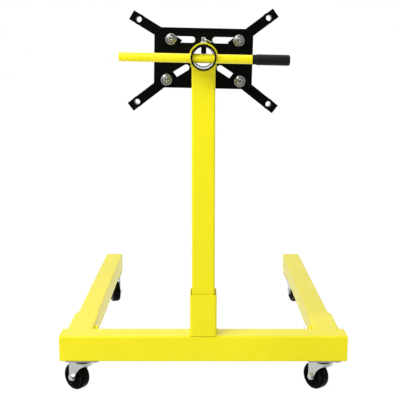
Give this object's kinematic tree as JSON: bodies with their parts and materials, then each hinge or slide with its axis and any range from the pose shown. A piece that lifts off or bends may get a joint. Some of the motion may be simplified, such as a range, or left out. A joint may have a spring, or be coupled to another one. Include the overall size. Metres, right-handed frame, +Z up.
{
  "type": "engine stand",
  "caption": "Wheeled engine stand: square-tube base on swivel casters, upright post, and a turning head with a slotted plate, swinging mounting arms, cross handle and lock pin.",
  "frame": {"origin": "on the floor under the middle of the stand's footprint", "axes": "+Y from the crossbeam towards the open ends of the legs, where the engine hangs; +X to the right for someone at the handle; +Z up"},
  "size_m": [0.65, 0.8568, 0.8666],
  "materials": {
    "yellow_paint": "bright yellow gloss powder coat over steel tube",
    "black_paint": "satin black paint over steel",
    "zinc_plate": "bright zinc plating on pressed and turned steel",
    "wheel_plastic": "hard black moulded wheel, slightly glossy tread",
    "grip_rubber": "soft charcoal sleeve grip",
    "cap_plastic": "moulded black tube end cap"
  },
  "bodies": {
    "frame": {"crossbeam": "yellow_paint", "beam_cap_left": "cap_plastic", "beam_cap_right": "cap_plastic", "post_socket": "yellow_paint", "post": "yellow_paint", "post_lock_nut": "yellow_paint", "post_lock_bolt": "zinc_plate", "leg_socket_left": "yellow_paint", "leg_socket_right": "yellow_paint", "leg_left": "yellow_paint", "leg_right": "yellow_paint", "leg_cap_left": "cap_plastic", "leg_cap_right": "cap_plastic", "leg_lock_left_nut": "yellow_paint", "leg_lock_left_bolt": "zinc_plate", "leg_lock_right_nut": "yellow_paint", "leg_lock_right_bolt": "zinc_plate", "head_sleeve": "yellow_paint", "lock_pin_guide": "zinc_plate", "caster_plate_front_left": "zinc_plate", "caster_plate_front_right": "zinc_plate", "caster_plate_rear_left": "zinc_plate", "caster_plate_rear_right": "zinc_plate"},
    "head": {"head_tube": "black_paint", "mounting_plate": "black_paint", "handle_set_screw": "black_paint"},
    "handle": {"handle_bar": "yellow_paint", "handle_grip": "grip_rubber"},
    "lock_pin": {"lock_pin": "zinc_plate"},
    "pull_ring": {"pull_ring": "zinc_plate"},
    "bolt_upper_left": {"arm_bolt_upper_left": "zinc_plate", "arm_washer_upper_left": "zinc_plate", "arm_nut_upper_left": "zinc_plate"},
    "arm_upper_left": {"arm_upper_left": "black_paint"},
    "bolt_upper_right": {"arm_bolt_upper_right": "zinc_plate", "arm_washer_upper_right": "zinc_plate", "arm_nut_upper_right": "zinc_plate"},
    "arm_upper_right": {"arm_upper_right": "black_paint"},
    "bolt_lower_left": {"arm_bolt_lower_left": "zinc_plate", "arm_washer_lower_left": "zinc_plate", "arm_nut_lower_left": "zinc_plate"},
    "arm_lower_left": {"arm_lower_left": "black_paint"},
    "bolt_lower_right": {"arm_bolt_lower_right": "zinc_plate", "arm_washer_lower_right": "zinc_plate", "arm_nut_lower_right": "zinc_plate"},
    "arm_lower_right": {"arm_lower_right": "black_paint"},
    "swivel_front_left": {"fork_front_left": "zinc_plate", "axle_front_left": "zinc_plate"},
    "wheel_front_left": {"wheel_front_left": "wheel_plastic"},
    "swivel_front_right": {"fork_front_right": "zinc_plate", "axle_front_right": "zinc_plate"},
    "wheel_front_right": {"wheel_front_right": "wheel_plastic"},
    "swivel_rear_left": {"fork_rear_left": "zinc_plate", "axle_rear_left": "zinc_plate"},
    "wheel_rear_left": {"wheel_rear_left": "wheel_plastic"},
    "swivel_rear_right": {"fork_rear_right": "zinc_plate", "axle_rear_right": "zinc_plate"},
    "wheel_rear_right": {"wheel_rear_right": "wheel_plastic"}
  },
  "joints": [
    {"name": "head_turn", "type": "hinge", "parent": "frame", "child": "head", "pos_m": [0, -0.36221, 0.7584], "axis": [0, 0.9998, 0.0218], "continuous": true},
    {"name": "handle_slide", "type": "slide", "parent": "head", "child": "handle", "axis": [0.9998, 0.0005, -0.0218], "range_m": [-0.07, 0.135]},
    {"name": "lock_pin_slide", "type": "slide", "parent": "frame", "child": "lock_pin", "axis": [0, -0.0218, 0.9998], "range_m": [-0.004, 0.006]},
    {"name": "pull_ring_swing", "type": "hinge", "parent": "lock_pin", "child": "pull_ring", "pos_m": [0, -0.34408, 0.79831], "axis": [0, -0.9998, -0.0218], "range_deg": [0, 120]},
    {"name": "slot_upper_left", "type": "slide", "parent": "head", "child": "bolt_upper_left", "axis": [-0.9998, -0.0005, 0.0218], "range_m": [-0.0473, 0.0077]},
    {"name": "swing_upper_left", "type": "hinge", "parent": "bolt_upper_left", "child": "arm_upper_left", "pos_m": [-0.07277, -0.27408, 0.79923], "axis": [0, 0.9998, 0.0218], "range_deg": [-40, 40]},
    {"name": "slot_upper_right", "type": "slide", "parent": "head", "child": "bolt_upper_right", "axis": [0.9998, 0.0005, -0.0218], "range_m": [-0.0521, 0.0029]},
    {"name": "swing_upper_right", "type": "hinge", "parent": "bolt_upper_right", "child": "arm_upper_right", "pos_m": [0.0792, -0.27401, 0.79591], "axis": [0, 0.9998, 0.0218], "range_deg": [-40, 40]},
    {"name": "slot_lower_left", "type": "slide", "parent": "head", "child": "bolt_lower_left", "axis": [-0.8594, 0.0112, -0.5112], "range_m": [-0.0523, 0.0027]},
    {"name": "swing_lower_left", "type": "hinge", "parent": "bolt_lower_left", "child": "arm_lower_left", "pos_m": [-0.08368, -0.27212, 0.70935], "axis": [0, 0.9998, 0.0218], "range_deg": [-40, 40]},
    {"name": "slot_lower_right", "type": "slide", "parent": "head", "child": "bolt_lower_right", "axis": [0.8363, 0.012, -0.5482], "range_m": [-0.0532, 0.0018]},
    {"name": "swing_lower_right", "type": "hinge", "parent": "bolt_lower_right", "child": "arm_lower_right", "pos_m": [0.08213, -0.27203, 0.70526], "axis": [0, 0.9998, 0.0218], "range_deg": [-40, 40]},
    {"name": "swivel_front_left", "type": "hinge", "parent": "frame", "child": "swivel_front_left", "pos_m": [-0.2755, -0.36221, 0], "axis": [0, 0, 1], "continuous": true},
    {"name": "roll_front_left", "type": "hinge", "parent": "swivel_front_left", "child": "wheel_front_left", "pos_m": [-0.29307, -0.34897, 0.03175], "axis": [-0.6018, -0.7986, 0], "continuous": true},
    {"name": "swivel_front_right", "type": "hinge", "parent": "frame", "child": "swivel_front_right", "pos_m": [0.2755, -0.36221, 0], "axis": [0, 0, 1], "continuous": true},
    {"name": "roll_front_right", "type": "hinge", "parent": "swivel_front_right", "child": "wheel_front_right", "pos_m": [0.26195, -0.34488, 0.03175], "axis": [-0.788, -0.6157, 0], "continuous": true},
    {"name": "swivel_rear_left", "type": "hinge", "parent": "frame", "child": "swivel_rear_left", "pos_m": [-0.286, 0.37639, 0], "axis": [0, 0, 1], "continuous": true},
    {"name": "roll_rear_left", "type": "hinge", "parent": "swivel_rear_left", "child": "wheel_rear_left", "pos_m": [-0.27848, 0.35571, 0.03175], "axis": [0.9397, 0.342, 0], "continuous": true},
    {"name": "swivel_rear_right", "type": "hinge", "parent": "frame", "child": "swivel_rear_right", "pos_m": [0.286, 0.37639, 0], "axis": [0, 0, 1], "continuous": true},
    {"name": "roll_rear_right", "type": "hinge", "parent": "swivel_rear_right", "child": "wheel_rear_right", "pos_m": [0.29132, 0.35504, 0.03175], "axis": [0.9703, 0.2419, 0], "continuous": true}
  ]
}
